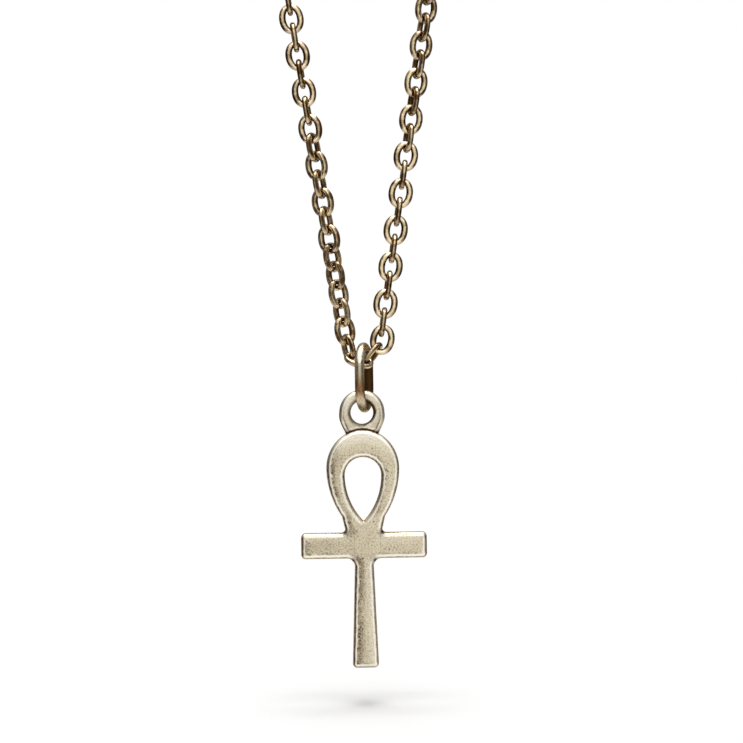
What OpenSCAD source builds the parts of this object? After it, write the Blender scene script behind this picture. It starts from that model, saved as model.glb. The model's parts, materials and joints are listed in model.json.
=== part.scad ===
// Ankh pendant on a closed cable chain, hanging straight down from the top of the chain.
// Millimetres. +Z is up, the front of the ankh faces -Y, and the origin is the middle of the clasp.

/* [Ankh] */
// Thickness of the cast plate
plate_thick = 1.8; // [1.2:0.05:3]
// Width of the loop across its widest part
loop_wide = 7.55; // [6.8:0.05:9]
// Radius of the two arcs that make the top of the loop
loop_top_r = 4; // [3.85:0.05:5]
// Radius of the arcs down the sides of the loop
loop_side_r = 9; // [8:0.1:12]
// Widest part of the loop down to the top of the crossbar
loop_drop = 6.78; // [6:0.05:8]
// Width of the neck where the loop stands on the crossbar
neck_wide = 3.65; // [2.6:0.05:4.2]
// Height of the neck above the crossbar
neck_high = 1.75; // [1.2:0.05:2.2]
// Width of the teardrop opening
drop_wide = 3.8; // [2.6:0.05:4.4]
// Widest part of the loop down to the middle of the opening's round end
drop_low = 0.8; // [0.4:0.02:1.4]
// Length of the opening's point, from the middle of its round end
drop_point = 4.8; // [3.6:0.05:5]
// Length of the crossbar from end to end
bar_long = 13.05; // [10:0.05:17]
// Height of the crossbar
bar_high = 2.62; // [2:0.05:3.4]
// Rounding of the crossbar's corners
bar_round = 0.45; // [0.1:0.05:0.8]
// Length of the shaft below the crossbar
shaft_long = 11.35; // [8:0.05:16]
// Width of the shaft under the crossbar
shaft_wide = 1.9; // [1.4:0.05:2.6]
// Width of the shaft's foot
foot_wide = 2.74; // [2:0.05:3.6]
// Rounding of the foot's corners
foot_round = 0.45; // [0.1:0.05:0.8]
// Fillet between the crossbar and the shaft
shaft_fillet = 0.85; // [0.3:0.05:1.2]
// Fillet between the crossbar and the loop
neck_fillet = 0.4; // [0.1:0.05:0.6]

/* [Eye of the ankh] */
// Diameter of the hole through the eye
eye_hole = 2.35; // [2:0.05:3]
// Width of the band round the hole
eye_band = 1.18; // [0.9:0.02:1.6]
// Thickness of the eye from front to back
eye_thick = 1.2; // [1.1:0.05:1.8]
// Rounding of the eye's edges
eye_round = 0.45; // [0.2:0.05:0.54]
// Depth that the eye is sunk into the top of the loop
eye_sink = 0.63; // [0.4:0.01:0.88]
// Width of the eye's foot where it stands on the loop
eye_foot = 3.4; // [2.8:0.05:3.8]
// Thickness of the eye's foot from front to back
eye_foot_thick = 0.9; // [0.7:0.05:1.1]

/* [Jump ring] */
// Height of the oval ring, outside
ring_long = 7.3; // [6.6:0.1:10]
// Width of the oval ring, outside
ring_wide = 5.4; // [5.2:0.1:6.4]
// Diameter of its wire
ring_wire = 1.0; // [0.7:0.05:1.1]
// Turn of the ring out of the straight front-to-back plane
ring_turn = 12; // [0:1:20]
// Clearance between the ring's wire and the eye's hole
ring_gap = 0.1; // [0.05:0.01:0.2]
// How far to the left of the ring's middle the ankh hangs
ankh_aside = 0.3; // [0:0.05:0.35]

/* [Chain] */
// Length once round the whole chain with its clasp, a standard 18 inch necklace
chain_long = 457; // [380:1:620]
// Angle of each straight strand from the vertical
strand_lean = 8.8; // [5:0.1:14]
// Length of a link, outside
link_long = 3.165; // [3:0.005:3.6]
// Width of a link, outside
link_wide = 2.56; // [2.4:0.01:2.8]
// Diameter of the links' wire
link_wire = 0.56; // [0.4:0.01:0.58]
// Clearance between the wires of two joined links
link_gap = 0.11; // [0.1:0.01:0.2]

/* [Clasp] */
// Diameter of the clasp's ring, outside
clasp_wide = 6; // [5:0.1:8]
// Diameter of the clasp's wire
clasp_wire = 1.0; // [0.7:0.05:1.1]
// Diameter of the small eye on the clasp, outside
tag_wide = 2.6; // [2.5:0.1:3.4]
// Diameter of the small eye's wire
tag_wire = 0.7; // [0.5:0.05:0.75]
// Depth that the small eye is sunk into the clasp's ring
tag_sink = 0.35; // [0.2:0.05:0.5]

/* [Hidden] */
$fn = 72;

// The lowest links, which turn the chain through the jump ring. They are chosen by hand.
// Heights and places are from the middle of the ring's top bend.
X = 0;
Y = 1;
Z = 2;
HEAD = 3;
ROLL = 4;
TILT = 5;
// Columns: place across, place in depth, height, heading, roll about the heading, tilt in depth
foot_left = [[-1.57, 0.18, 2.08, 102.6, 63, 2]];
foot_right = [
    [-0.53, -0.33, 0.85, -19.1, 60.2, -3.8],
    [0.87, 0.14, 1.38, 52.2, 107.6, -2.2],
    [1.95, 0.08, 2.94, 77.1, 2.8, -0.5]
];
// Half the distance between the strands' lines at the height of the ring's top bend
foot_half = 1.315;
// Height of the first link of each straight strand
left_start = 3.94;
right_start = 4.77;
// Columns: number of the link up the strand, turn of the links about the strand
left_twist = [
    [1, 52], [2, 52], [5, 40], [6, 26], [9, 24], [11, 24], [12, 12], [14, 4], [17, 0], [400, 0]
];
right_twist = [[1, 0], [3, -6], [7, -6], [10, -3], [11, -16], [13, -21], [18, -26], [400, -26]];

// Sizes of the chain's loop
pitch = link_long - 2 * link_wire - link_gap;
clasp_r = (clasp_wide - clasp_wire) / 2;
tag_r = (tag_wide - tag_wire) / 2;
tag_reach = (clasp_wide + tag_wide) / 2 - tag_sink;
clasp_span = tag_reach + clasp_r + tag_r - (clasp_wire + tag_wire) / 2 - link_gap;
foot_count = len(foot_left) + len(foot_right);
side_links = round(((chain_long - clasp_span) / pitch - foot_count) / 2);
bend = (90 + strand_lean) * PI / 180;
side_long = side_links * pitch + clasp_span / 2;
straight_long = (side_long - foot_half * bend / cos(strand_lean)) / (1 + tan(strand_lean) * bend);
straight_links = round(straight_long / pitch);

function unit(head) = [cos(head), 0, sin(head)];
function half_turn(lean) = (90 + lean) / (side_links - straight_links + clasp_span / pitch / 2);
function heading(i, lean) =
    90 - lean + (i > straight_links ? half_turn(lean) * (i - straight_links - 0.5) : 0);
function strand_foot(start, lean) =
    [foot_half + start * tan(lean), 0, start] - unit(90 - lean) * pitch / 2;
// Points where the links of one strand meet, from the first link up to the clasp
function strand(start, lean) = [
    for (i = 0, p = strand_foot(start, lean); i <= side_links;
         i = i + 1, p = p + pitch * unit(heading(i, lean))) p
];
// Room left between the ends of the two strands for the clasp
function room(lean) =
    let (l = strand(left_start, lean)[side_links], r = strand(right_start, lean)[side_links])
    norm([max(l[X] + r[X], 0), l[Z] - r[Z]]) - clasp_span;
// The lean at which the clasp just closes the loop
function closing_lean(low, high, tries) =
    let (middle = (low + high) / 2)
    tries == 0 ? middle
    : room(middle) > 0 ? closing_lean(low, middle, tries - 1)
    : closing_lean(middle, high, tries - 1);

lean = closing_lean(strand_lean - 3, strand_lean + 3, 24);
left_path = strand(left_start, lean);
right_path = strand(right_start, lean);
left_end = [-left_path[side_links][X], 0, left_path[side_links][Z]];
right_end = right_path[side_links];
clasp_mid = (left_end + right_end) / 2;
clasp_slope = atan2(right_end[Z] - left_end[Z], right_end[X] - left_end[X]);

// Heights from the middle of the ring's top bend
ring_low = (ring_wide - ring_long) / 2 - (ring_long - ring_wire) / 2;
eye_z = ring_low - sqrt(((eye_hole - ring_wire) / 2 - ring_gap) ^ 2 - ankh_aside ^ 2);

// Heights from the middle of the eye's hole
eye_out = eye_hole / 2 + eye_band;
loop_rise = sqrt(loop_top_r ^ 2 - (loop_top_r - loop_wide / 2) ^ 2);
loop_z = eye_sink - eye_out - loop_rise;
bar_z = loop_z - loop_drop;
shaft_z = bar_z - bar_high;

// Two circles leaning together, as wide as width where they are widest
module lens(r, width) {
    intersection() {
        translate([r - width / 2, 0]) circle(r);
        translate([width / 2 - r, 0]) circle(r);
    }
}

module above(size) {
    intersection() {
        children();
        translate([-size, 0]) square([2 * size, size]);
    }
}

module below(size) {
    intersection() {
        children();
        translate([-size, -size]) square([2 * size, size]);
    }
}

module both_sides() {
    children();
    mirror([1, 0]) children();
}

module inside_corner(r) {
    difference() {
        square(r);
        translate([r, r]) circle(r);
    }
}

module teardrop() {
    r = drop_wide / 2;
    point_r = (drop_point ^ 2 + r ^ 2) / (2 * r);
    circle(r);
    below(drop_point + r) lens(point_r, drop_wide);
}

module loop_outline() {
    above(loop_wide) lens(loop_top_r, loop_wide);
    below(loop_drop) lens(loop_side_r, loop_wide);
    // The neck leaves the side arcs where they are as wide as the neck's top
    top = neck_high - loop_drop;
    top_half = loop_wide / 2 - loop_side_r + sqrt(loop_side_r ^ 2 - top ^ 2);
    low = -loop_drop - bar_high / 2;
    polygon([[-top_half, top], [-neck_wide / 2, -loop_drop], [-neck_wide / 2, low],
             [neck_wide / 2, low], [neck_wide / 2, -loop_drop], [top_half, top]]);
}

module crossbar_outline() {
    half = bar_long / 2 - bar_round;
    translate([-half, -bar_high]) square([2 * half, bar_high]);
    translate([-bar_long / 2, bar_round - bar_high]) square([bar_long, bar_high - 2 * bar_round]);
    for (x = [-half, half], z = [-bar_round, bar_round - bar_high]) translate([x, z]) circle(bar_round);
    both_sides() translate([neck_wide / 2, 0]) inside_corner(neck_fillet);
}

module shaft_outline() {
    flat = foot_wide / 2 - foot_round;
    polygon([[-shaft_wide / 2, bar_high / 2], [-shaft_wide / 2, 0], [-foot_wide / 2, foot_round - shaft_long],
             [foot_wide / 2, foot_round - shaft_long], [shaft_wide / 2, 0], [shaft_wide / 2, bar_high / 2]]);
    translate([-flat, -shaft_long]) square([2 * flat, 2 * foot_round]);
    for (x = [-flat, flat]) translate([x, foot_round - shaft_long]) circle(foot_round);
    both_sides() mirror([0, 1]) translate([shaft_wide / 2, 0]) inside_corner(shaft_fillet);
}

module eye() {
    out = eye_thick / 2 - eye_round;
    low = eye_hole / 2 + eye_round;
    high = eye_out - eye_round;
    rotate([90, 0, 0]) rotate_extrude() {
        translate([low, -eye_thick / 2]) square([high - low, eye_thick]);
        translate([eye_hole / 2, -out]) square([eye_band, 2 * out]);
        for (x = [low, high], z = [-out, out]) translate([x, z]) circle(eye_round);
    }
}

// The metal that widens the eye's lower half down to its foot on the loop
module eye_foot() {
    high = -eye_out * sin(20);
    side = eye_out * cos(20);
    across = eye_foot / 2 + loop_top_r - loop_wide / 2;
    low = loop_z + sqrt(loop_top_r ^ 2 - across ^ 2);
    rotate([90, 0, 0]) linear_extrude(eye_foot_thick, center = true) difference() {
        polygon([[-side, high], [-eye_foot / 2, low], [-eye_foot / 2, low - eye_sink],
                 [eye_foot / 2, low - eye_sink], [eye_foot / 2, low], [side, high]]);
        circle(d = eye_hole + eye_band);
    }
}

module plate() {
    rotate([90, 0, 0]) linear_extrude(plate_thick, center = true) difference() {
        union() {
            translate([0, loop_z]) loop_outline();
            translate([0, bar_z]) crossbar_outline();
            translate([0, shaft_z]) shaft_outline();
        }
        translate([0, loop_z - drop_low]) teardrop();
    }
}

// A closed oval of round wire, its long way along X and its width along Z
module wire_oval(long, wide, wire) {
    end_r = (wide - wire) / 2;
    run = long - wide;
    rotate([90, 0, 0]) for (half = [0, 180]) rotate(half) {
        translate([run / 2, 0]) rotate_extrude(angle = 180, start = -90)
            translate([end_r, 0]) circle(d = wire);
        translate([-run / 2, end_r, 0]) rotate([0, 90, 0]) cylinder(d = wire, h = run);
    }
}

module wire_ring(outside, wire) {
    rotate([90, 0, 0]) rotate_extrude() translate([(outside - wire) / 2, 0]) circle(d = wire);
}

module link(place, head, roll, tilt = 0) {
    translate(place) rotate([0, -head, 0]) rotate([0, 0, tilt]) rotate([-roll, 0, 0])
        wire_oval(link_long, link_wide, link_wire);
}

module foot_links(rows) {
    for (row = rows) link([row[X], row[Y], row[Z]], row[HEAD], row[ROLL], row[TILT]);
}

function link_roll(i, twist) = lookup(i, twist) + 90 * (i % 2);

// Lifts a piece from the ring's bend to its place below the clasp
module hung() {
    translate(-clasp_mid) children();
}

module ankh() {
    color([0.80, 0.74, 0.58]) hung() translate([-ankh_aside, 0, eye_z]) union() {
        plate();
        eye();
        eye_foot();
    }
}

module jump_ring() {
    color([0.72, 0.62, 0.46]) hung() translate([0, 0, (ring_wide - ring_long) / 2])
        rotate([0, 0, 90 - ring_turn]) rotate([0, -90, 0]) wire_oval(ring_long, ring_wide, ring_wire);
}

module chain_left() {
    color([0.86, 0.78, 0.60]) hung() {
        foot_links(foot_left);
        for (i = [1:side_links]) {
            p = (left_path[i - 1] + left_path[i]) / 2;
            link([-p[X], 0, p[Z]], 90 + (90 - heading(i, lean)), link_roll(i, left_twist));
        }
    }
}

module chain_right() {
    color([0.86, 0.78, 0.60]) hung() {
        foot_links(foot_right);
        for (i = [1:side_links]) {
            p = (right_path[i - 1] + right_path[i]) / 2;
            link(p, heading(i, lean), link_roll(i, right_twist));
        }
    }
}

module clasp() {
    // The clasp lies square to the last links, whichever way they lie
    roll = 90 * ((side_links + 1) % 2);
    start = -clasp_span / 2 - (tag_wire + link_gap) / 2 + tag_r;
    color([0.84, 0.76, 0.58]) rotate([roll, -clasp_slope, 0]) {
        translate([start, 0, 0]) wire_ring(tag_wide, tag_wire);
        translate([start + tag_reach, 0, 0]) wire_ring(clasp_wide, clasp_wire);
    }
}

ankh();
jump_ring();
chain_left();
chain_right();
clasp();
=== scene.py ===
"""Finish, light and camera for an ankh pendant that hangs on a cable chain."""

import json
import math
import random
from types import SimpleNamespace

import bmesh
import bpy
import numpy as np
from mathutils import Matrix, Vector
from mathutils.geometry import delaunay_2d_cdt


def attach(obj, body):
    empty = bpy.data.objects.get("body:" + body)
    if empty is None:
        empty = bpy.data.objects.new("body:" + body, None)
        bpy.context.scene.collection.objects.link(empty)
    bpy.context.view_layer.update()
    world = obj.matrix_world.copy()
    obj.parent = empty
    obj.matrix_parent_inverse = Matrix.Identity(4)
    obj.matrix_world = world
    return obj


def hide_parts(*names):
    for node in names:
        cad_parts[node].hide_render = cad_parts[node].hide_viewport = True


bl_info = {
    "name": "Ankh Pendant",
    "version": (1, 0, 0),
    "blender": (4, 5, 0),
    "location": "3D View > Sidebar > Ankh",
    "description": "Builds the cast ankh, its chain links, their brass and the studio",
    "category": "Object",
}

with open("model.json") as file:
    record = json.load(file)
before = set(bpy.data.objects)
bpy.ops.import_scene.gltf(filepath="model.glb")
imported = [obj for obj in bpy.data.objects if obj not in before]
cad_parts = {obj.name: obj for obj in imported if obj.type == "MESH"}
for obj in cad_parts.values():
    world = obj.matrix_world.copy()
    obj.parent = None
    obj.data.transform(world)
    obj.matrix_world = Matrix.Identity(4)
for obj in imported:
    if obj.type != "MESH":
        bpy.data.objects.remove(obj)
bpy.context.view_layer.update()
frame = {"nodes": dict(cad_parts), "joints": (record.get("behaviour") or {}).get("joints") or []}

MM = 0.001
SENSOR_WIDE = 36  # millimetres
FEWEST_LINKS = 50
# Patterns in the brass, by how many fit in a metre
CLOUDS = 480.0
CAST_DENTS = 420.0
WIRE_DENTS = 1700.0
LINK_PATCHES = 1100.0
RING_STREAKS = 4500.0
HINGES = {joint["name"]: joint["pos_m"] for joint in frame["joints"]}
RING_BEND = Vector(HINGES["ring_swing"])
RING_LOW = Vector(HINGES["ankh_swing"])


def length(name, description, default):
    """A size in metres."""
    return bpy.props.FloatProperty(
        name=name, description=description, default=default,
        precision=5, unit="LENGTH", subtype="DISTANCE",
    )


def tilt(name, description, degrees):
    """An angle."""
    return bpy.props.FloatProperty(
        name=name, description=description, default=math.radians(degrees), subtype="ANGLE"
    )


def share(name, description, default):
    """A value from 0 to 1."""
    return bpy.props.FloatProperty(
        name=name, description=description, default=default, min=0, max=1, subtype="FACTOR"
    )


def number(name, description, default, **limits):
    """A plain number."""
    return bpy.props.FloatProperty(name=name, description=description, default=default, **limits)


def steps(name, description, default, least=0):
    """A whole number."""
    return bpy.props.IntProperty(name=name, description=description, default=default, min=least)


def paint(name, description, default):
    """A linear colour."""
    return bpy.props.FloatVectorProperty(
        name=name, description=description, default=default, min=0, max=1, size=3, subtype="COLOR"
    )


class AnkhSizes(bpy.types.PropertyGroup):
    """Sizes of the cast ankh, with the model's outline."""

    plate: length("Plate", "Thickness of the plate", 1.8 * MM)
    loop_wide: length("Loop width", "Width of the loop across its widest part", 7.55 * MM)
    loop_top: length("Loop top", "Radius of the arcs over the loop", 4 * MM)
    loop_side: length("Loop side", "Radius of the arcs down the loop", 9 * MM)
    loop_drop: length("Loop drop", "Widest part of the loop down to the crossbar", 6.78 * MM)
    neck_wide: length("Neck width", "Width of the neck on the crossbar", 3.65 * MM)
    neck_high: length("Neck height", "Height of the neck above the crossbar", 1.75 * MM)
    drop_wide: length("Opening width", "Width of the teardrop opening", 3.8 * MM)
    drop_low: length("Opening height", "Loop's widest part to the opening's round end", 0.8 * MM)
    drop_point: length("Opening point", "Length of the opening's point", 4.8 * MM)
    bar_long: length("Crossbar length", "Length of the crossbar", 13.05 * MM)
    bar_high: length("Crossbar height", "Height of the crossbar", 2.62 * MM)
    bar_round: length("Crossbar corners", "Rounding of the crossbar's corners", 0.45 * MM)
    shaft_long: length("Shaft length", "Length of the shaft", 11.35 * MM)
    shaft_wide: length("Shaft width", "Width of the shaft under the crossbar", 1.9 * MM)
    foot_wide: length("Foot width", "Width of the shaft's foot", 2.74 * MM)
    foot_round: length("Foot corners", "Rounding of the foot's corners", 0.45 * MM)
    shaft_fillet: length("Shaft fillet", "Fillet between the crossbar and the shaft", 0.85 * MM)
    neck_fillet: length("Neck fillet", "Fillet between the crossbar and the loop", 0.4 * MM)
    eye_hole: length("Eye hole", "Diameter of the hole through the eye", 2.35 * MM)
    eye_band: length("Eye band", "Width of the band round the eye's hole", 1.18 * MM)
    eye_thick: length("Eye thickness", "Thickness of the eye", 1.2 * MM)
    eye_sink: length("Eye sink", "Depth that the eye is sunk into the loop", 0.63 * MM)
    ring_wire: length("Ring wire", "Diameter of the jump ring's wire", 1.0 * MM)
    ring_gap: length("Ring gap", "Clearance of the jump ring in the eye", 0.1 * MM)
    aside: length("Aside", "How far to the left of the ring's middle the ankh hangs", 0.3 * MM)
    eye_foot: length("Eye foot", "Width of the eye's foot on the loop", 3.4 * MM)
    edge: length("Bevel width", "Width of the polished bevel along every edge", 0.43 * MM)
    slope: tilt("Bevel slope", "Slope of the bevel", 22)
    rim: length("Rim width", "Width of the rounding outside the bevel", 0.17 * MM)
    rim_deep: length("Rim depth", "Depth of the rounding outside the bevel", 0.2 * MM)
    crown: length("Crown", "How far the face falls away towards its edges", 0.04 * MM)
    grid: length("Face grid", "Spacing of the points inside the faces", 0.22 * MM)


class ChainSizes(bpy.types.PropertyGroup):
    """Sizes of the links, as long and wide as the model's."""

    link_long: length("Link length", "Length of a link, outside", 3.165 * MM)
    link_wide: length("Link width", "Width of a link, outside", 2.56 * MM)
    wire_deep: length("Wire depth", "Wire of a link from face to face", 0.58 * MM)
    wire_side: length("Wire at the sides", "Wire of a link across its long sides", 0.7 * MM)
    wire_end: length("Wire at the ends", "Wire of a link across its ends", 0.575 * MM)
    fullness: number("Fullness", "2 is an ellipse, and more is fuller", 2.12, min=2, max=4)
    sway: tilt("Sway", "Most that a link is turned about its strand", 2.5)
    around: steps("Steps round a link", "Points along a link's wire", 44, 12)
    across: steps("Steps round the wire", "Points round the wire", 16, 8)
    seed: steps("Seed", "Seed of the links' sway", 7)


class BrassLooks(bpy.types.PropertyGroup):
    """Colours and polish of the brass pieces."""

    face: paint("Ankh", "Colour of the ankh's face", (0.67, 0.595, 0.43))
    # The bright colour serves both wear and painted highlights
    worn: paint("Worn edges", "Colour of the rubbed edges", (0.93, 0.88, 0.75))
    # The patina colour also colours the painted shade
    patina: paint("Patina", "Colour of the darkened low places", (0.076, 0.036, 0.013))
    ring: paint("Jump ring", "Colour of the jump ring", (0.5, 0.4, 0.235))
    copper: paint("Copper blush", "Warm tint where the ring and the links rub", (0.50, 0.25, 0.11))
    links: paint("Chain", "Colour of the links", (0.86, 0.69, 0.42))
    # The link ends' colour serves both wear and a painted highlight
    link_end_wear_and_highlight: paint("Link ends", "Rubbed ends of the links", (0.97, 0.82, 0.58))
    face_rough: share("Ankh roughness", "Roughness of the ankh's face", 0.34)
    ring_rough: share("Ring roughness", "Roughness of the jump ring", 0.26)
    link_rough: share("Chain roughness", "Roughness of the links", 0.09)


class StudioSet(bpy.types.PropertyGroup):
    """Camera, floor and light."""

    lens: number("Lens", "Focal length", 100, unit="CAMERA")
    view_wide: length("View width", "Width of the view at the pendant", 77.3 * MM)
    roll: tilt("Roll", "Roll of the camera", 0.95)
    aside: length("Aside", "View's middle to the right of the ring", 0.78 * MM)
    above: length("Above", "View's middle above the ring's top bend", -0.333 * MM)
    floor_drop: length("Floor", "View's middle down to the floor", 34.5 * MM)
    floor_wide: length("Floor width", "Width of the floor", 0.2)
    floor_paint: paint("Floor colour", "Colour of the floor", (0.86, 0.86, 0.86))
    key_power: number("Overhead light", "Power of the overhead light", 14.9, unit="POWER")
    key_wide: length("Overhead width", "Width of the overhead light", 0.9)
    key_deep: length("Overhead depth", "Depth of the overhead light from front to back", 1.1)
    key_high: length("Overhead height", "Height of the overhead light above the view's middle", 1.1)
    front: number("Front light", "Brightness of the front softbox", 1.0)
    top: number("Top light", "Brightness of the top softbox", 1.25)
    back: number("Back light", "Brightness of the back softbox", 0.5)
    sides: number("Side light", "Brightness of the side strips", 0.25)
    rest: number("Fill", "Brightness from everywhere else", 0.03)
    floor_fill: number("Floor fill", "Light of the room on the floor", 0.22)


def eye_centre(s):
    """The middle of the hole in the ankh's eye."""
    reach = (s.eye_hole - s.ring_wire) / 2 - s.ring_gap
    return RING_LOW - Vector((s.aside, 0, math.sqrt(reach**2 - s.aside**2)))


def arc(cx, cz, r, start, end, step=0.07):
    """Points along an arc, in millimetres, from one angle to another."""
    count = max(2, int(abs(end - start) * r / step) + 1)
    turn = np.linspace(start, end, count)
    return [(cx + r * math.cos(a), cz + r * math.sin(a)) for a in turn]


def line(a, b, step=0.15):
    """Points from a up to, and not with, b."""
    count = max(1, int(math.dist(a, b) / step))
    return [tuple(np.array(a) + (np.array(b) - np.array(a)) * i / count) for i in range(count)]


def round_corner(before, corner, after, r):
    """The arc that rounds a corner of an outline."""
    v = np.array(corner)
    a, b = (np.array(p) - v for p in (before, after))
    a, b = a / np.linalg.norm(a), b / np.linalg.norm(b)
    half = math.acos(np.clip(a @ b, -1, 1)) / 2
    centre = v + (a + b) / np.linalg.norm(a + b) * r / math.sin(half)
    ends = [v + side * r / math.tan(half) - centre for side in (a, b)]
    start, end = (math.atan2(e[1], e[0]) for e in ends)
    sweep = (end - start + math.pi) % (2 * math.pi) - math.pi
    return arc(centre[0], centre[1], r, start, start + sweep, 0.05)


def rounded_path(corners, radii):
    """An open path through corners, each rounded by its radius, and straight between."""
    pieces = [[corners[0]]]
    for i, r in enumerate(radii, 1):
        pieces.append(round_corner(corners[i - 1], corners[i], corners[i + 1], r))
    pieces.append([corners[-1]])
    path = []
    for one, two in zip(pieces, pieces[1:]):
        path += one[:-1] + line(one[-1], two[0])
    return path + pieces[-1]


def outer_outline(s):
    """The ankh's outline, clockwise from the top, in millimetres from the eye's middle."""
    wide, top_r, side_r = s.loop_wide / MM, s.loop_top / MM, s.loop_side / MM
    rise = math.sqrt(top_r**2 - (top_r - wide / 2) ** 2)
    loop = (s.eye_sink - s.eye_hole / 2 - s.eye_band) / MM - rise
    bar = loop - s.loop_drop / MM
    shaft = bar - s.bar_high / MM
    foot = shaft - s.shaft_long / MM
    down = math.asin((s.loop_drop - s.neck_high) / MM / side_r)
    half = arc(wide / 2 - top_r, loop, top_r, math.acos((top_r - wide / 2) / top_r), 0)
    half += arc(wide / 2 - side_r, loop, side_r, 0, -down)[1:]
    corners = [
        half[-1],
        (s.neck_wide / 2 / MM, bar),
        (s.bar_long / 2 / MM, bar),
        (s.bar_long / 2 / MM, shaft),
        (s.shaft_wide / 2 / MM, shaft),
        (s.foot_wide / 2 / MM, foot),
        (0, foot),
    ]
    radii = [s.neck_fillet, s.bar_round, s.bar_round, s.shaft_fillet, s.foot_round]
    half += rounded_path(corners, [r / MM for r in radii])[1:]
    return np.array(half + [(-x, z) for x, z in half[-2:0:-1]]), loop


def drop_outline(s, loop):
    """The teardrop opening, anticlockwise, with a point that is a little blunt."""
    r, point, blunt = s.drop_wide / 2 / MM, s.drop_point / MM, 0.1
    z = loop - s.drop_low / MM
    side_r = (point**2 + r**2) / (2 * r)
    tip = math.asin(point / side_r)
    lean = math.pi / 2 - tip
    cut = blunt / math.tan(math.pi / 2 - lean) / side_r
    right = arc(r - side_r, z, side_r, cut - tip, 0)
    nose_z = z - point + blunt / math.sin(math.pi / 2 - lean)
    nose = arc(0, nose_z, blunt, -lean - 0.001, -math.pi + lean, 0.03)
    top = arc(0, z, r, 0, math.pi)
    left = [(-x, p) for x, p in reversed(right)]
    return np.array(right + top[1:-1] + left + nose[::-1][1:-1])


def inward(path):
    """The way into the metal at each point of a closed outline, mitred up to a limit."""
    sharpest = 0.6
    before, after = path - np.roll(path, 1, 0), np.roll(path, -1, 0) - path
    sides = []
    for step in (before, after):
        step = step / np.linalg.norm(step, axis=1)[:, None]
        sides.append(np.stack([step[:, 1], -step[:, 0]], 1))
    middle = sides[0] + sides[1]
    middle /= np.linalg.norm(middle, axis=1)[:, None]
    return middle / np.clip((middle * sides[0]).sum(1), sharpest, 1)[:, None]


def inside(points, paths):
    """Whether points lie in the metal, by counting crossings."""
    hit = np.zeros(len(points), bool)
    for path in paths:
        a, b = path, np.roll(path, -1, 0)
        for (x0, z0), (x1, z1) in zip(a, b):
            span = (z0 > points[:, 1]) != (z1 > points[:, 1])
            if span.any():
                cross = x0 + (points[:, 1] - z0) / (z1 - z0 + 1e-30) * (x1 - x0)
                hit ^= span & (points[:, 0] < cross)
    return hit


def nearest(points, paths):
    """How far points are from the nearest outline, and the way out of the metal there."""
    rim, out = np.concatenate(paths), -np.concatenate([inward(path) for path in paths])
    apart, way = [], []
    for part in np.array_split(points, 1 + len(points) // 500):
        squares = ((part[:, None] - rim[None]) ** 2).sum(2)
        apart.append(np.sqrt(squares.min(1)))
        way.append(out[squares.argmin(1)])
    return np.concatenate(apart), np.concatenate(way)


def face_height(s, d):
    """Height of the face above the plate's middle, at a distance from the edge."""
    edge, rim = s.edge / MM, s.rim / MM
    soft, crown_reach = 0.12, 0.7
    bevel = math.tan(s.slope) * (np.hypot(np.clip(edge - d, 0, None), soft) - soft)
    rounding = s.rim_deep / MM * (1 - np.sqrt(1 - np.clip(1 - d / rim, 0, 1) ** 2))
    return s.plate / 2 / MM - bevel - rounding - s.crown / MM * np.exp(-d / crown_reach)


def face_grid(outer, rims, step):
    """Points all over a face in staggered rows, a little clear of its rims."""
    low, high, row, clear = outer.min(0), outer.max(0), step * 0.87, step * 0.45
    columns, heights = np.arange(low[0], high[0], step), np.arange(low[1], high[1], row)
    grid = np.array([(x, z) for x in columns for z in heights])
    grid[:, 0] += np.where(np.round((grid[:, 1] - low[1]) / row) % 2 == 1, step / 2, 0)
    grid = grid[inside(grid, rims)]
    return grid[nearest(grid, rims)[0] > clear]


def filled(rims, grid):
    """Flat points and triangles that fill the rims, and which given point each one is."""
    points = [Vector(p) for p in np.concatenate(rims + [grid])]
    edges, start = [], 0
    for rim in rims:
        edges += [(start + i, start + (i + 1) % len(rim)) for i in range(len(rim))]
        start += len(rim)
    found = delaunay_2d_cdt(points, edges, [], 0, 1e-6)
    flat = np.array([tuple(p) for p in found[0]])
    triangles = np.array([t for t in found[2] if len(t) == 3])
    triangles = triangles[inside(flat[triangles].mean(1), rims)]
    return flat, triangles, [min(given) for given in found[3]]


def plate_mesh(s, paths):
    """The flat casting with rounded edges, closed, with points all over its faces."""
    edge, rim = s.edge / MM, s.rim / MM
    depths = [rim * (1 - math.cos(math.pi / 2 * k / 5)) for k in range(6)]
    depths += [rim + (edge - rim) * k for k in (0.2, 0.45, 0.7, 0.85, 0.94, 1)]
    verts, faces, rim_starts = [], [], {1: [], -1: []}
    normals = [inward(path) for path in paths]
    for path, normal in zip(paths, normals):
        count, rows = len(path), []
        for side in (1, -1):
            for d in depths if side == 1 else depths[::-1]:
                y = -side * float(face_height(s, d))
                rows.append(len(verts))
                verts += [(x, y, z) for x, z in path + normal * d]
            rim_starts[side].append(rows[-1] if side == 1 else rows[-len(depths)])
        # From the front face's rim over the edge to the back face's rim
        order = rows[: len(depths)][::-1] + rows[len(depths):][::-1]
        for one, two in zip(order, order[1:]):
            for i in range(count):
                j = (i + 1) % count
                faces.append((one + i, one + j, two + j, two + i))
    rims = [path + normal * edge for path, normal in zip(paths, normals)]
    flat, triangles, sources = filled(rims, face_grid(paths[0], rims, s.grid / MM))
    depth = edge + nearest(flat, rims)[0]
    for side in (1, -1):
        on_rim = [start + i for rim, start in zip(rims, rim_starts[side]) for i in range(len(rim))]
        place = []
        for (x, z), source, d in zip(flat, sources, depth):
            if source < len(on_rim):
                place.append(on_rim[source])
            else:
                place.append(len(verts))
                verts.append((x, -side * float(face_height(s, d)), z))
        faces += [tuple(place[v] for v in t) for t in triangles]
    mesh = bpy.data.meshes.new("plate")
    mesh.from_pydata([Vector(v) * MM for v in verts], [], faces)
    return mesh


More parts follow.
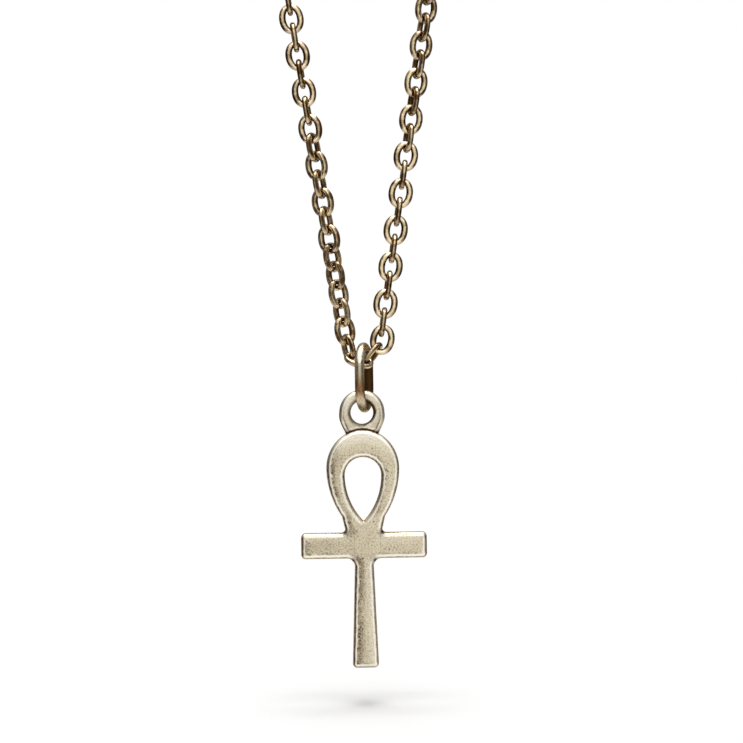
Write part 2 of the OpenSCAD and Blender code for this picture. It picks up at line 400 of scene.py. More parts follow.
def sweep_faces(start, around, across):
    """Faces of a closed sweep, whose rows of points follow each other from start."""
    faces = []
    for i in range(around):
        here, there = start + i * across, start + (i + 1) % around * across
        for j in range(across):
            k = (j + 1) % across
            faces.append((here + j, here + k, there + k, there + j))
    return faces


def eye_reach(s, loop, a):
    """Outer radius of the eye at an angle, which widens into the foot on the loop."""
    out, foot, top_r = (s.eye_hole / 2 + s.eye_band) / MM, s.eye_foot / 2 / MM, s.loop_top / MM
    start, fade, bulge = -math.radians(20), math.radians(22), 0.1
    x0, z0 = out * math.cos(start), out * math.sin(start)
    across = foot + top_r - s.loop_wide / 2 / MM
    x1, z1 = foot, loop + math.sqrt(top_r**2 - across**2)
    end = math.atan2(z1, x1)
    # Left and right are alike, and the upper half is round
    a = math.asin(math.sin(a)) if math.sin(a) < 0 else 0
    swell = bulge * math.sin(math.pi * min(1, max(0, a / end)))
    if a > start:
        return out + swell
    if a > end:
        return (x0 * z1 - x1 * z0) / (math.cos(a) * (z1 - z0) - math.sin(a) * (x1 - x0)) + swell
    return out + (math.hypot(x1, z1) - out) * max(0, 1 - (end - a) / fade)


def eye_mesh(s, loop, around=180, across=56):
    """The eye: a ring with a flat band and rounded edges, thinner and wider at its foot."""
    hole, deep, squareness = s.eye_hole / 2 / MM, s.eye_thick / 2 / MM, 3
    thinner, thin_from, thin_over = 0.26, 0.9, 0.6
    verts = []
    for a in np.linspace(0, 2 * math.pi, around, endpoint=False):
        half = (eye_reach(s, loop, a) - hole) / 2
        for b in np.linspace(0, 2 * math.pi, across, endpoint=False):
            c, t = math.cos(b), math.sin(b)
            full = (abs(c) ** squareness + abs(t) ** squareness) ** (-1 / squareness)
            r = hole + half + half * full * c
            z = r * math.sin(a)
            thin = 1 - thinner * min(1, max(0, (-z - thin_from) / thin_over))
            verts.append((r * math.cos(a) * MM, deep * thin * full * t * MM, z * MM))
    mesh = bpy.data.meshes.new("eye")
    mesh.from_pydata(verts, [], sweep_faces(0, around, across))
    return mesh


def outward_normals(mesh):
    """Welds a mesh and turns its faces outward."""
    work = bmesh.new()
    work.from_mesh(mesh)
    bmesh.ops.remove_doubles(work, verts=work.verts, dist=1e-8)
    bmesh.ops.recalc_face_normals(work, faces=work.faces)
    work.to_mesh(mesh)
    work.free()


def placed(data, name):
    """An object in the scene for a mesh, a camera or a light."""
    piece = bpy.data.objects.new(name, data)
    bpy.context.scene.collection.objects.link(piece)
    return piece


def joined(first, second, name):
    """One mesh that is the union of two pieces, which are then removed."""
    cut = first.modifiers.new("join", "BOOLEAN")
    cut.operation, cut.solver, cut.object = "UNION", "EXACT", second
    bpy.context.view_layer.update()
    mesh = bpy.data.meshes.new_from_object(
        first.evaluated_get(bpy.context.evaluated_depsgraph_get())
    )
    mesh.name = name
    for piece in (first, second):
        bpy.data.objects.remove(piece)
    return mesh


def smooth(mesh, angle=40):
    """Shades a mesh smooth, but for edges sharper than an angle."""
    mesh.shade_smooth()
    mesh.set_sharp_from_angle(angle=math.radians(angle))


def mask(mesh, name, values):
    """Keeps a value from 0 to 1 at each point, for the materials."""
    layer = mesh.attributes.new(name, "FLOAT", "POINT")
    layer.data.foreach_set("value", np.clip(values, 0, 1).astype(np.float32))


def add(tree, kind, **values):
    """A node, with its settings and its sockets' values."""
    node = tree.nodes.new(kind)
    for key, value in values.items():
        if hasattr(node, key) and key not in node.inputs:
            setattr(node, key, value)
        else:
            set_input(tree, node, key, value)
    return node


def set_input(tree, node, key, value):
    """Links or sets a socket, by its name or, as i0, i1 and so on, by its place."""
    socket = node.inputs[int(key[1:]) if key[0] == "i" and key[1:].isdigit() else key]
    if isinstance(value, bpy.types.NodeSocket):
        tree.links.new(value, socket)
    elif hasattr(value, "__len__") and len(value) == 3 and socket.type == "RGBA":
        socket.default_value = (*value, 1)
    else:
        socket.default_value = value


def maths(tree, operation, a, b, clamp=False):
    """One step of arithmetic, with its result held between 0 and 1 if clamp is set."""
    return add(tree, "ShaderNodeMath", operation=operation, use_clamp=clamp, i0=a, i1=b).outputs[0]


def times(tree, a, b):
    """The product of two values."""
    return maths(tree, "MULTIPLY", a, b)


def plus(tree, a, b, clamp=False):
    """The sum of two values, held between 0 and 1 if clamp is set."""
    return maths(tree, "ADD", a, b, clamp)


def minus(tree, a, b):
    """A value less another."""
    return maths(tree, "SUBTRACT", a, b)


def ramp(tree, value, low, high):
    """0 where value is at low, 1 where it is at high, and a smooth step between."""
    stops = {"Value": value, "From Min": low, "From Max": high}
    node = add(tree, "ShaderNodeMapRange", interpolation_type="SMOOTHSTEP", **stops)
    return node.outputs["Result"]


def noise(tree, place, scale, detail, **more):
    """Values of a noise at a place."""
    node = add(tree, "ShaderNodeTexNoise", Vector=place, Scale=scale, Detail=detail, **more)
    return node.outputs[0]


def towards(tree, way, aim):
    """How nearly a direction points along aim, up to 1."""
    aim = tuple(Vector(aim).normalized())
    node = add(tree, "ShaderNodeVectorMath", operation="DOT_PRODUCT", i0=way, i1=aim)
    return node.outputs["Value"]


def blend(tree, factor, a, b):
    """Colour a, turning to colour b as factor grows."""
    return add(tree, "ShaderNodeMix", data_type="RGBA", i0=factor, i6=a, i7=b).outputs[2]


def new_group(name, inputs, outputs):
    """An empty node group with named sockets."""
    tree = bpy.data.node_groups.new(name, "ShaderNodeTree")
    for key, (kind, value) in inputs.items():
        socket = tree.interface.new_socket(key, in_out="INPUT", socket_type=kind)
        if value is not None:
            socket.default_value = value
    for key, kind in outputs.items():
        tree.interface.new_socket(key, in_out="OUTPUT", socket_type=kind)
    return tree, tree.nodes.new("NodeGroupInput").outputs, tree.nodes.new("NodeGroupOutput")


def grain_group():
    """Cast grain: fine grain, scattered pits and soft clouds."""
    name = "Cast grain"
    if name in bpy.data.node_groups:
        return bpy.data.node_groups[name]
    tree, given, out = new_group(
        name,
        {
            "Position": ("NodeSocketVector", None),
            "Grain size": ("NodeSocketFloat", 0.12 * MM),
            "Pit size": ("NodeSocketFloat", 0.6 * MM),
            "Pits": ("NodeSocketFloat", 0.5),
        },
        {key: "NodeSocketFloat" for key in ("Height", "Pit", "Cloud", "Grain")},
    )
    place, pit_size = given["Position"], given["Pit size"]
    fine = noise(tree, place, maths(tree, "DIVIDE", 1.0, given["Grain size"]), 2.0, Roughness=0.7)
    in_a_metre = maths(tree, "DIVIDE", 1.0, pit_size)
    cells = add(tree, "ShaderNodeTexVoronoi", Vector=place, Scale=in_a_metre)
    pick = noise(tree, place, maths(tree, "DIVIDE", 0.45, pit_size), 2.0)
    dots = minus(tree, 1.0, ramp(tree, cells.outputs["Distance"], 0.08, 0.26))
    few = ramp(tree, plus(tree, pick, times(tree, given["Pits"], 0.2)), 0.58, 0.68)
    pit = times(tree, dots, few)
    cloud = noise(tree, place, CLOUDS, 4.0, Roughness=0.65)
    height = minus(tree, times(tree, fine, 0.35), pit)
    for key, value in (("Height", height), ("Pit", pit), ("Cloud", cloud), ("Grain", fine)):
        tree.links.new(value, out.inputs[key])
    return tree


def tarnish_and_painted_light_group():
    """Dark patina and painted shade in the low places, and wear and painted highlights on the
    edges.
    """
    name = "Tarnish"
    if name in bpy.data.node_groups:
        return bpy.data.node_groups[name]
    tree, given, out = new_group(
        name,
        {
            "Metal": ("NodeSocketColor", (0.7, 0.6, 0.4, 1)),
            "Worn": ("NodeSocketColor", (0.9, 0.8, 0.6, 1)),
            "Patina": ("NodeSocketColor", (0.1, 0.07, 0.03, 1)),
            "Hollow": ("NodeSocketFloat", 0.0),
            "Rubbed": ("NodeSocketFloat", 0.0),
            "Roughness": ("NodeSocketFloat", 0.3),
        },
        {"Color": "NodeSocketColor", "Roughness": "NodeSocketFloat"},
    )
    bright = blend(tree, given["Rubbed"], given["Metal"], given["Worn"])
    tree.links.new(blend(tree, given["Hollow"], bright, given["Patina"]), out.inputs["Color"])
    rough = minus(tree, given["Roughness"], times(tree, given["Rubbed"], 0.12))
    rough = plus(tree, rough, times(tree, given["Hollow"], 0.3), clamp=True)
    tree.links.new(rough, out.inputs["Roughness"])
    return tree


def use_group(tree, group, **values):
    """A node of a group, with underscores for the spaces in its sockets' names."""
    node = add(tree, "ShaderNodeGroup")
    node.node_tree = group
    for key, value in values.items():
        set_input(tree, node, key.replace("_", " "), value)
    return node


def brass(name, grazing=(0.62, 0.43, 0.25)):
    """An empty material with its metal shader, and its tint where it is seen edge on."""
    material = bpy.data.materials.new(name)
    material.use_nodes = True
    tree = material.node_tree
    tree.nodes.clear()
    metal = add(tree, "ShaderNodeBsdfPrincipled", Metallic=1.0)
    set_input(tree, metal, "Specular Tint", grazing)
    tree.links.new(metal.outputs[0], add(tree, "ShaderNodeOutputMaterial").inputs[0])
    return material, tree, metal


def finish(tree, metal, coat, height, deep):
    """Gives the metal its coat's colour and roughness, and a relief of a height."""
    tree.links.new(coat.outputs["Color"], metal.inputs["Base Color"])
    tree.links.new(coat.outputs["Roughness"], metal.inputs["Roughness"])
    bump = add(tree, "ShaderNodeBump", Strength=0.5, Distance=deep, Height=height)
    tree.links.new(bump.outputs[0], metal.inputs["Normal"])


def position(tree):
    """The place on the piece, in metres."""
    return add(tree, "ShaderNodeTexCoord").outputs["Object"]


def attribute(tree, name):
    """A mask that the mesh carries."""
    return add(tree, "ShaderNodeAttribute", attribute_name=name).outputs["Fac"]


def ankh_brass(looks):
    """Satin cast brass: pits, soft clouds, dark patina and painted shade, edges bright with wear
    and painted highlights.
    """
    material, tree, metal = brass("ankh_brass", (0.68, 0.43, 0.15))
    place = position(tree)
    grain = use_group(
        tree, grain_group(), Position=place, Grain_size=0.18 * MM, Pit_size=0.5 * MM, Pits=0.5
    ).outputs
    # Wear and painted highlights, from the casting's mask
    rubbed = attribute(tree, "rubbed")
    bare = maths(tree, "MAXIMUM", times(tree, rubbed, 0.85), attribute(tree, "polished"))
    sand = times(tree, ramp(tree, grain["Grain"], 0.44, 0.64), 0.4)
    cloud = plus(tree, times(tree, ramp(tree, grain["Cloud"], 0.38, 0.6), 0.35), 0.3)
    # The shade mask is painted shade on the plate and patina on the eye, broken into clouds
    clouds = times(tree, attribute(tree, "shade"), cloud)
    marks = plus(tree, plus(tree, sand, clouds), times(tree, grain["Pit"], 0.55))
    marks = times(tree, marks, minus(tree, 1.0, bare))
    coat = use_group(
        tree, tarnish_and_painted_light_group(), Metal=looks.face, Worn=looks.worn, Patina=looks.patina,
        Hollow=plus(tree, attribute(tree, "hollow"), marks, clamp=True),
        Rubbed=rubbed, Roughness=looks.face_rough,
    )
    height = plus(tree, grain["Height"], times(tree, noise(tree, place, CAST_DENTS, 2.0), 1.6))
    finish(tree, metal, coat, height, 0.04 * MM)
    return material


def wire_brass(name, looks, metal_colour, roughness, clouds=0.4):
    """Drawn wire: smooth, with faint dents, pits and soft clouds of patina."""
    material, tree, metal = brass(name)
    place = position(tree)
    grain = use_group(
        tree, grain_group(), Position=place, Grain_size=0.09 * MM, Pit_size=0.5 * MM, Pits=0.2
    ).outputs
    hollow = times(tree, ramp(tree, grain["Cloud"], 0.42, 0.7), clouds)
    hollow = plus(tree, hollow, times(tree, grain["Pit"], 0.3), clamp=True)
    coat = use_group(
        tree, tarnish_and_painted_light_group(), Metal=metal_colour, Worn=looks.worn, Patina=looks.patina,
        Hollow=hollow, Roughness=roughness,
    )
    height = plus(tree, grain["Height"], times(tree, noise(tree, place, WIRE_DENTS, 2.0), 9.0))
    finish(tree, metal, coat, height, 0.02 * MM)
    return material, tree, coat, hollow


def dress(node, material):
    """Gives a node of the model its material."""
    mesh = node.data
    mesh.materials.clear()
    mesh.materials.append(material)


def uneven(x, z):
    """A wander between -1 and 1, so that rubbed and dark lines aren't even."""
    waves = ((2.3, 1.1, 0.5, 1), (5.7, -4.3, 1.9, 1), (6.7, 9.1, 4.0, 0.7), (13.1, -10.3, 0.0, 0.5))
    total = sum(size * np.sin(a * x + b * z + c) for a, b, c, size in waves)
    return total / sum(size for *_, size in waves)


def held(values):
    """Values held between 0 and 1."""
    return np.clip(values, 0, 1)


def soft_line(away, wide):
    """1 on a line, and softly less away from it."""
    return np.exp(-((away / wide) ** 2))


def casting_points(s, places, paths, loop):
    """What the masks ask of the points, in millimetres: place, distance from the edge, way out."""
    flat = places[:, [0, 2]]
    x, z = flat.T
    apart, way = nearest(flat, paths)
    apart = apart + 0.04 * uneven(x, z) * held(apart / 0.1)
    out = (s.eye_hole / 2 + s.eye_band) / MM
    bar = loop - s.loop_drop / MM
    return SimpleNamespace(
        x=x, z=z, height=np.abs(places[:, 1]), apart=apart, way=way,
        left=held(-way[:, 0]), right=held(way[:, 0]), up=held(way[:, 1]), down=held(-way[:, 1]),
        on_eye=~inside(flat, paths) & (apart > 0.004) & (np.hypot(x, z) < out + 0.4),
        loop=loop, bar=bar, shaft=bar - s.bar_high / MM, eye_out=out, eye_foot=s.eye_foot / 2 / MM,
    )


def plate_wear_and_highlight(p, across):
    """Wear and painted highlights on the plate: along its bevels, over the loop's top, and right on
    the shaft.
    """
    top = np.interp(p.z, [p.loop, p.loop + 3], [0, 1])
    bevel = np.interp(p.apart, [0.16, 0.24, 0.37, 0.46], [0, 1, 1, 0])
    bevel = bevel * (1 - 0.55 * p.up * (1 - top))
    # Painted highlight inside the upward edges, stronger over the loop's top
    upper = (0.35 + 0.45 * top) * p.up * soft_line(p.apart, 0.8 + 0.5 * top)
    rubbed = np.maximum(bevel, upper) * (p.height > 0.5)
    # Painted highlight on the downward bevels below the loop
    lower = p.down * np.interp(p.apart, [0.1, 0.17, 0.3, 0.4], [0, 1, 1, 0]) * (p.z < p.loop)
    # Painted highlight on the right half of the shaft
    right_of_middle = 0.5 * held(across - 0.05) * (p.height > 0.5)
    return np.maximum(np.maximum(rubbed, lower), right_of_middle)


def plate_patina_and_shade(s, p):
    """Dark metal on the plate: patina and painted shade along the outline, painted shade at the
    bevel's foot, darker walls, patina in the corners and the groove under the eye.
    """
    off_edge = p.apart - 0.05 * p.left + 0.04 * p.down
    # A dark line along the outline, patina and painted shade: faint on upward edges, lighter on the
    # right and downward ones
    outline = np.interp(off_edge, [0.02, 0.08, 0.18, 0.24], [0.35, 1, 0.85, 0])
    outline = outline * np.clip(1 - 1.3 * p.up, 0.1, 1) * (1 - 0.3 * p.right - 0.6 * p.down)
    # Painted shade at the bevel's foot on the low and left sides
    low_left = held(0.45 - 0.5 * p.way[:, 1] - 0.25 * p.way[:, 0])
    hollow = np.maximum(outline, 0.5 * low_left * soft_line(p.apart - 0.48, 0.07))
    hollow = np.maximum(hollow, 0.35 * held((0.5 - p.height) / 0.3))
    point = p.loop - (s.drop_low + s.drop_point) / MM
    corners = (  # to the side, up, radius, darkness
        (s.neck_wide / 2 / MM + 0.1, p.bar + 0.1, 0.34, 0.9),
        (s.shaft_wide / 2 / MM + 0.2, p.shaft - 0.2, 0.36, 0.9),
        (0, point - 0.2, 0.3, 0.45),
    )
    for px, pz, wide, dark in corners:
        hollow = np.maximum(hollow, dark * soft_line(np.hypot(np.abs(p.x) - px, p.z - pz), wide))
    groove = (np.abs(p.x) < p.eye_foot) & (p.z > -2.3)
    return np.where(groove, np.maximum(hollow, np.interp(p.apart, [0.09, 0.17], [1, 0])), hollow)


def plate_shade(p, across):
    """Painted shade inside the left edges of the loop, the crossbar and the shaft, which the
    material breaks into patina clouds.
    """
    reach = np.where((p.x > 0.4) & (p.z > p.bar), 0.14, 0.62)
    inner_left = held((p.apart - 0.4) / 0.08) * soft_line(np.clip(p.apart - 0.5, 0, None), reach)
    left_half = 0.35 * held(0.5 - p.x / 5) * held((p.apart - 0.4) / 0.2)
    shade = np.maximum(p.left**1.5 * inner_left, left_half)
    shade = shade * np.interp(p.z, [p.loop + 0.8, p.loop + 2.8], [1, 0.1])
    # Painted shade over the left half of the shaft
    return np.maximum(shade, 0.75 * held(0.1 - across) * held((p.apart - 0.3) / 0.15))


def eye_marks(s, p):
    """Marks on the eye: painted shade round its hole and its outline, patina where it meets the
    loop, wear and painted highlights between.
    """
    x, z = p.x / p.eye_out, p.z / p.eye_out
    from_eye = np.hypot(p.x, p.z)
    from_rim = np.array([eye_reach(s, p.loop, a) for a in np.arctan2(p.z, p.x)]) - from_eye
    from_hole = from_eye - s.eye_hole / 2 / MM + 0.03 * uneven(2 * p.x, 2 * p.z)
    from_hole = from_hole + held(x) * (0.03 + np.clip(-z, 0, 0.6))
    # Painted shade round the hole, deeper on its right
    round_hole = np.interp(from_hole, [0.24, 0.42], [0.65, 0.06]) * (0.75 + 0.8 * held(x + 0.3))
    set_in = from_rim - 0.12 * held(x) + 0.03 * uneven(p.x, p.z)
    # Painted shade along the eye's outline, fading at its top and its right
    outline = np.interp(set_in, [0.02, 0.09, 0.2], [0.4, 0.95, 0.08])
    outline = outline * (np.clip(1 - 1.2 * z, 0.15, 1) * np.clip(1 - 0.7 * x, 0.3, 1))
    # A soft line of painted shade inside the outline, strongest low down
    inner_line = soft_line(from_rim - 0.47 + 0.03 * uneven(p.z, p.x), 0.08)
    inner_line = inner_line * np.clip(0.4 - 0.7 * z, 0.1, 0.85)
    at_loop = np.interp(p.apart, [0.07, 0.16], [1, 0]) * (p.z < -1)
    hollow = np.maximum.reduce([round_hole, outline, inner_line, at_loop])
    # Wear lines by the rim and the loop, and painted highlights by the hole's lower right and
    # growing towards the top
    rubbed = np.maximum.reduce([
        soft_line(from_rim - 0.28, 0.08),
        soft_line(p.apart - 0.26, 0.08) * (p.z < -1),
        0.9 * soft_line(from_hole - 0.5, 0.14) * held(x - z),
        0.1 + 0.5 * held(z) + 0.4 * held((z - x) / 1.4) ** 2,
    ])
    return rubbed, hollow


def casting_masks(s, places, paths, loop):
    """Where the casting is bright with wear and painted highlights, dark with patina and painted
    shade, clouded with patina, and polished.
    """
    p = casting_points(s, places, paths, loop)
    across = np.where(p.z < p.shaft, p.x / (s.shaft_wide / 2 / MM), 0)
    eye_wear_and_highlight, eye_patina_and_shade = eye_marks(s, p)
    beside_foot = soft_line(np.hypot(np.abs(p.x) - p.eye_foot + 0.05, p.z + 2.08), 0.27)
    hollow = np.where(p.on_eye, eye_patina_and_shade, plate_patina_and_shade(s, p))
    return {
        "rubbed": np.where(p.on_eye, eye_wear_and_highlight, plate_wear_and_highlight(p, across)),
        "hollow": np.maximum(hollow, 0.95 * beside_foot),
        "shade": np.where(p.on_eye, 0.35, plate_shade(p, across)),
        "polished": np.where(p.on_eye, 0.6, 0.5 * np.interp(p.z, [loop + 1, loop + 3], [0, 1])),
    }


class ANKH_OT_casting(bpy.types.Operator):
    """Build the cast ankh with its eye, in place of the model's plain one"""

    bl_idname = "ankh.casting"
    bl_label = "Cast ankh"

    def execute(self, context):
        s = context.scene.ankh_sizes
        outer, loop = outer_outline(s)
        paths = [outer, drop_outline(s, loop)]
        plate, eye = plate_mesh(s, paths), eye_mesh(s, loop)
        for mesh in (plate, eye):
            outward_normals(mesh)
        mesh = joined(placed(plate, "plate"), placed(eye, "eye"), "ankh_casting")
        places = np.array([v.co for v in mesh.vertices]) / MM
        for name, values in casting_masks(s, places, paths, loop).items():
            mask(mesh, name, values)
        smooth(mesh)
        mesh.transform(Matrix.Translation(eye_centre(s)))
        mesh.materials.clear()
        mesh.materials.append(ankh_brass(context.scene.brass_looks))
        piece = placed(mesh, "ankh_casting")
        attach(piece, "ankh")
        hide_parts("ankh")
        return {"FINISHED"}


def link_places(mesh):
    """The middle, long direction and face direction of each loose link of a mesh."""
    count = len(mesh.vertices)
    co = np.zeros(count * 3, np.float32)
    mesh.vertices.foreach_get("co", co)
    co = co.reshape(-1, 3).astype(float)
    mesh.calc_loop_triangles()
    triangles = np.array([t.vertices[:] for t in mesh.loop_triangles])
    # Points at one place count as one, so that a link is one island
    _, same = np.unique(np.round(co, 8), axis=0, return_inverse=True)
    same = same.reshape(-1)
    label = np.arange(same.max() + 1)
    joined_up = same[triangles]
    while True:
        low = label[joined_up].min(1)
        new = label.copy()
        for k in range(3):
            np.minimum.at(new, joined_up[:, k], low)
        new = new[new]
        if (new == label).all():
            break
        label = new
    owner = label[joined_up[:, 0]]
    places, tiny = [], 1e-9
    for one in np.unique(owner):
        corners = co[triangles[owner == one]]
        sides = corners[:, 1:] - corners[:, :1]
        area = np.linalg.norm(np.cross(sides[:, 0], sides[:, 1]), axis=1)
        middle = corners.mean(1)
        centre = (middle * area[:, None]).sum(0) / area.sum()
        spread = ((middle - centre) * area[:, None]).T @ (middle - centre)
        _, directions = np.linalg.eigh(spread)
        long, flat = directions[:, 2], directions[:, 0]
        # Up, and back or else to the right, so that all the links sway alike
        long = long * np.sign(long[2] + tiny)
        flat = flat * np.sign(flat[1] + tiny * flat[0])
        places.append((centre, long, flat))
    return sorted(places, key=lambda p: (round(p[0][2], 6), round(p[0][0], 6)))


def oval_wire(s, centre, long, across, flat):
    """Points of one link, how much painted dark reflection each has on the wire's sides, and how
    near each is to the link's ends.
    """
    a, b, full = (s.link_long - s.wire_end) / 2, (s.link_wide - s.wire_side) / 2, s.fullness
    end_from, end_over, side_from, side_over = 0.55, 0.3, 0.25, 0.35
    points, sides, ends = [], [], []
    turns = np.linspace(0, 2 * math.pi, s.around, endpoint=False)
    shape = (np.abs(np.cos(turns)) ** full + np.abs(np.sin(turns)) ** full) ** (-1 / full)
    middle = np.stack([a * shape * np.cos(turns), b * shape * np.sin(turns)], 1)
    way = np.roll(middle, -1, 0) - np.roll(middle, 1, 0)
    way /= np.linalg.norm(way, axis=1)[:, None]
    for (x, y), (dx, dy) in zip(middle, way):
        half = (s.wire_end + (s.wire_side - s.wire_end) * dx * dx) / 2
        end = min(1.0, max(0.0, (abs(x) / a - end_from) / end_over))
        for t in np.linspace(0, 2 * math.pi, s.across, endpoint=False):
            c = math.cos(t)
            out, up = half * c, s.wire_deep / 2 * math.sin(t)
            place = centre + (x + dy * out) * long + (y - dx * out) * across + up * flat
            points.append(tuple(place))
            # Painted dark reflection, full on the wire's sides and none on its faces
            side = min(1.0, max(0.0, (abs(c) - side_from) / side_over))
            if c >= 0:
                # The painted dark reflection is weaker on the outer side at the link's ends and
                # along its very edge
                side = side * (1 - 0.5 * end) * (1 - 0.6 * c**16)
            sides.append(side)
            ends.append(end)
    return points, sides, ends


def strand_mesh(s, node, turn):
    """Every link of a strand as a smooth oval, where the model has it, and swayed a little."""
    # inside holds the painted dark reflection on the wires' sides
    verts, faces, masks = [], [], {"inside": [], "near_end": []}
    links = link_places(frame["nodes"][node].data)
    if len(links) < FEWEST_LINKS:
        raise RuntimeError(f"{node} has too few links: {len(links)}")
    for centre, long, flat in links:
        across = np.cross(long, flat)
        twist = turn.uniform(-s.sway, s.sway)
        c, t = math.cos(twist), math.sin(twist)
        flat, across = flat * c + across * t, across * c - flat * t
        faces += sweep_faces(len(verts), s.around, s.across)
        points, *marks = oval_wire(s, centre, long, across, flat)
        verts += points
        for values, more in zip(masks.values(), marks):
            values += more
    mesh = bpy.data.meshes.new(node + "_links")
    mesh.from_pydata(verts, [], faces)
    outward_normals(mesh)
    for name, values in masks.items():
        mask(mesh, name, np.array(values))
    mesh.shade_smooth()
    return mesh


def chain_brass(looks):
    """Polished wire: warm at each link's ends, with wear and a painted highlight there, painted
    dark reflection on the sides, and dark in patches.
    """
    material, tree, coat, hollow = wire_brass("chain_brass", looks, looks.links, looks.link_rough)
    # inside is the painted dark reflection on the wires' sides
    sides, ends = attribute(tree, "inside"), attribute(tree, "near_end")
    blush = times(tree, ends, plus(tree, times(tree, sides, 0.4), 0.12))
    set_input(tree, coat, "Metal", blend(tree, blush, looks.links, looks.copper))
    # Link ends bright from wear and a painted highlight
    set_input(tree, coat, "Worn", looks.link_end_wear_and_highlight)
    set_input(tree, coat, "Rubbed", times(tree, ends, 0.9))
    patches = ramp(tree, noise(tree, position(tree), LINK_PATCHES, 1.0), 0.47, 0.6)
    patches = times(tree, patches, minus(tree, 0.28, times(tree, ends, 0.28)))
    hollow = plus(tree, hollow, patches)
    # Painted dark reflection on the wires' sides
    set_input(tree, coat, "Hollow", plus(tree, hollow, times(tree, sides, 0.85), clamp=True))
    return material


class ANKH_OT_chain(bpy.types.Operator):
    """Wind every link of both strands as a smooth oval, where the model has it"""

    bl_idname = "ankh.chain"
    bl_label = "Chain links"

    def execute(self, context):
        s = context.scene.chain_sizes
        material = chain_brass(context.scene.brass_looks)
        turn = random.Random(s.seed)
        for node in ("chain_left", "chain_right"):
            mesh = strand_mesh(s, node, turn)
            mesh.materials.append(material)
            piece = placed(mesh, node + "_links")
            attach(piece, "chain")
            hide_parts(node)
        return {"FINISHED"}


def ring_brass(looks):
    """Wire with a painted highlight in front at its top, painted shade behind, darker at half
    height, pale low down.
    """
    material, tree, coat, hollow = wire_brass(
        "ring_brass", looks, looks.ring, looks.ring_rough, clouds=0.45
    )
    place = add(tree, "ShaderNodeSeparateXYZ", Vector=position(tree)).outputs
    deep, high = place[1], place[2]

    def under(depth):
        """The height at a depth, in millimetres, under the ring's top bend."""
        return RING_BEND.z - depth * MM

    def belt(start, full, still_full, end):
        """1 round the ring between depths, softly to 0 above and below."""
        above = ramp(tree, high, under(start), under(full))
        return times(tree, above, ramp(tree, high, under(end), under(still_full)))

    streak = add(tree, "ShaderNodeMapping", Vector=position(tree), Scale=(1, 1, 0.12)).outputs[0]
    lines = times(tree, ramp(tree, noise(tree, streak, RING_STREAKS, 2.0), 0.42, 0.66), 0.24)
    # Painted shade over the ring's back half, up to just above its top bend
    behind = ramp(tree, deep, 0.6 * MM, 1.6 * MM)
    behind = times(tree, behind, ramp(tree, high, under(-1.8), under(-1)))
    hollow = plus(tree, plus(tree, hollow, lines), behind, clamp=True)
    dark = times(tree, belt(0.7, 1.8, 2.1, 3), 0.38)
    set_input(tree, coat, "Hollow", plus(tree, hollow, dark, clamp=True))
    copper = times(tree, belt(1.1, 2, 2.9, 4), 0.8)
    foot = times(tree, ramp(tree, high, under(2.2), under(3.4)), 0.75)
    metal_colour = blend(tree, copper, looks.ring, looks.copper)
    set_input(tree, coat, "Metal", blend(tree, foot, metal_colour, looks.face))
    # Painted highlight on the front of the ring round its top bend
    bright = ramp(tree, high, under(1), under(-1.4))
    bright = times(tree, bright, ramp(tree, deep, 1.2 * MM, 0.2 * MM))
    set_input(tree, coat, "Rubbed", times(tree, bright, 0.7))
    return material


class ANKH_OT_jump_ring(bpy.types.Operator):
    """Finish the jump ring: a painted highlight at its top, a copper blush low down, painted shade
    behind
    """

    bl_idname = "ankh.jump_ring"
    bl_label = "Jump ring"

    def execute(self, context):
        dress(frame["nodes"]["jump_ring"], ring_brass(context.scene.brass_looks))
        return {"FINISHED"}


class ANKH_OT_clasp(bpy.types.Operator):
    """Finish the clasp in the chain's brass"""

    bl_idname = "ankh.clasp"
    bl_label = "Clasp"

    def execute(self, context):
        looks = context.scene.brass_looks
        material = wire_brass("clasp_brass", looks, looks.links, looks.link_rough)[0]
        dress(frame["nodes"]["clasp"], material)
        return {"FINISHED"}


def set_camera(scene, s):
    """Stands the camera straight before the pendant, and gives the middle of its view."""
    right = Vector((math.cos(s.roll), 0, -math.sin(s.roll)))
    up = Vector((math.sin(s.roll), 0, math.cos(s.roll)))
    away = Vector((0, -1, 0))
    middle = RING_BEND + right * s.aside + up * s.above
    data = bpy.data.cameras.new("camera")
    data.lens, data.sensor_width = s.lens, SENSOR_WIDE
    data.clip_start, data.clip_end = 0.005, 20
    camera = placed(data, "camera")
    camera.matrix_world = Matrix((right, up, away)).transposed().to_4x4()
    camera.location = middle + away * s.view_wide * s.lens / SENSOR_WIDE
    scene.camera = camera
    return middle


def lay_floor(s, z):
    """Lays the pale floor."""
    half = s.floor_wide / 2
    corners = [(x, y, z) for x, y in ((-half, -half), (half, -half), (half, half), (-half, half))]
    mesh = bpy.data.meshes.new("floor")
    mesh.from_pydata(corners, [], [(0, 1, 2, 3)])
    material = bpy.data.materials.new("floor_paint")
    material.use_nodes = True
    shader = material.node_tree.nodes["Principled BSDF"]
    shader.inputs["Base Color"].default_value = (*s.floor_paint, 1)
    shader.inputs["Roughness"].default_value = 0.9
    shader.inputs["Specular IOR Level"].default_value = 0.1
    mesh.materials.append(material)
    placed(mesh, "floor")


def hang_light(s, middle):
    """Hangs the overhead light, which casts the soft shadow on the floor."""
    light = bpy.data.lights.new("overhead", "AREA")
    light.shape, light.energy = "ELLIPSE", s.key_power
    light.size, light.size_y = s.key_wide, s.key_deep
    placed(light, "overhead").location = middle + Vector((0, 0, s.key_high))


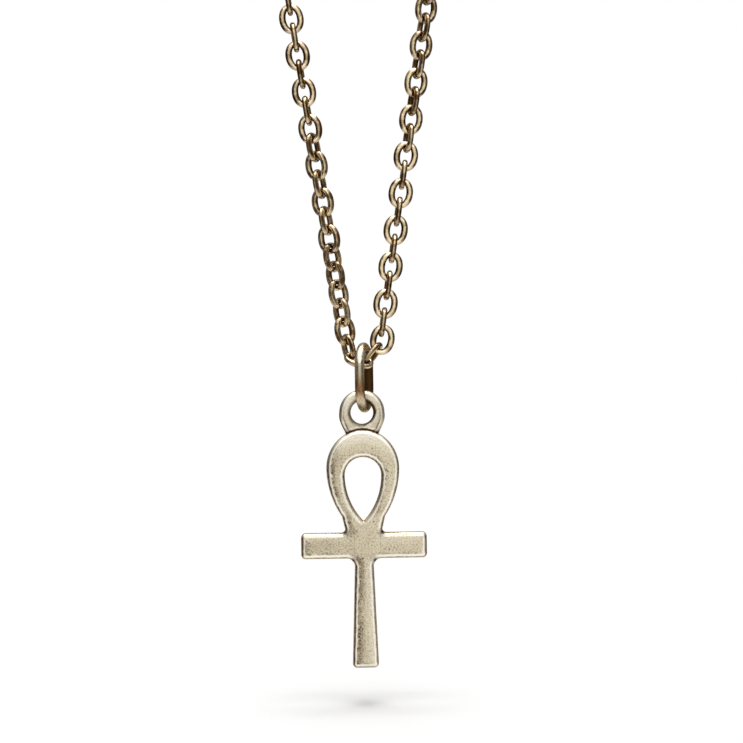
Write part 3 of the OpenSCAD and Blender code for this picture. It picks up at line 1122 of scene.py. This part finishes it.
def surround(scene, s):
    """Softboxes all round for the metal, an even fill for the floor, and white for the camera."""
    world = bpy.data.worlds.new("studio")
    world.use_nodes = True
    scene.world = world
    tree = world.node_tree
    tree.nodes.clear()
    way = add(tree, "ShaderNodeTexCoord").outputs["Generated"]
    softboxes = (  # brightness, aim, and how near to the aim it starts and is full
        (s.front, (0.08, -1, 0.1), 0.66, 0.88),
        (s.top, (0, -0.3, 1), 0.45, 0.85),
        (s.back, (0, 1, 0.3), 0.7, 0.95),
        (s.sides, (1, 0.25, 0.1), 0.8, 0.95),
        (s.sides, (-1, 0.25, 0.1), 0.8, 0.95),
    )
    glow = s.rest
    for bright, aim, start, full in softboxes:
        box = ramp(tree, towards(tree, way, aim), start, full)
        glow = plus(tree, times(tree, box, bright), glow)
    path = add(tree, "ShaderNodeLightPath").outputs
    for ray, value in (("Is Diffuse Ray", s.floor_fill), ("Is Camera Ray", 1.0)):
        mix = add(tree, "ShaderNodeMix", data_type="FLOAT", i0=path[ray], i2=glow, i3=value)
        glow = mix.outputs[0]
    back = add(tree, "ShaderNodeBackground", Color=(1, 1, 1), Strength=glow)
    tree.links.new(back.outputs[0], add(tree, "ShaderNodeOutputWorld").inputs[0])


class ANKH_OT_stage(bpy.types.Operator):
    """Set the pale floor, the soft light and the camera"""

    bl_idname = "ankh.stage"
    bl_label = "Studio"

    def execute(self, context):
        scene, s = context.scene, context.scene.studio_set
        middle = set_camera(scene, s)
        lay_floor(s, middle.z - s.floor_drop)
        hang_light(s, middle)
        surround(scene, s)
        scene.view_settings.view_transform = "Standard"
        return {"FINISHED"}


class ANKH_PT_panel(bpy.types.Panel):
    """Lists the pieces, their sizes and their finish"""

    bl_idname = "ANKH_PT_panel"
    bl_label = "Ankh pendant"
    bl_space_type = "VIEW_3D"
    bl_region_type = "UI"
    bl_category = "Ankh"

    def draw(self, context):
        for operator in OPERATORS:
            self.layout.operator(operator.bl_idname)
        for key, group in SETTINGS.items():
            box = self.layout.box()
            box.label(text=group.__doc__)
            for name in group.__annotations__:
                box.prop(getattr(context.scene, key), name)


SETTINGS = {
    "ankh_sizes": AnkhSizes,
    "chain_sizes": ChainSizes,
    "brass_looks": BrassLooks,
    "studio_set": StudioSet,
}
OPERATORS = (ANKH_OT_casting, ANKH_OT_chain, ANKH_OT_jump_ring, ANKH_OT_clasp, ANKH_OT_stage)
CLASSES = (*SETTINGS.values(), *OPERATORS, ANKH_PT_panel)


def register():
    for cls in CLASSES:
        bpy.utils.register_class(cls)
    for key, group in SETTINGS.items():
        setattr(bpy.types.Scene, key, bpy.props.PointerProperty(type=group))


def unregister():
    for key in SETTINGS:
        delattr(bpy.types.Scene, key)
    for cls in reversed(CLASSES):
        bpy.utils.unregister_class(cls)


def main():
    register()
    bpy.ops.ankh.casting()
    bpy.ops.ankh.chain()
    bpy.ops.ankh.jump_ring()
    bpy.ops.ankh.clasp()
    bpy.ops.ankh.stage()
    bpy.context.view_layer.update()


if __name__ == "__main__":
    main()
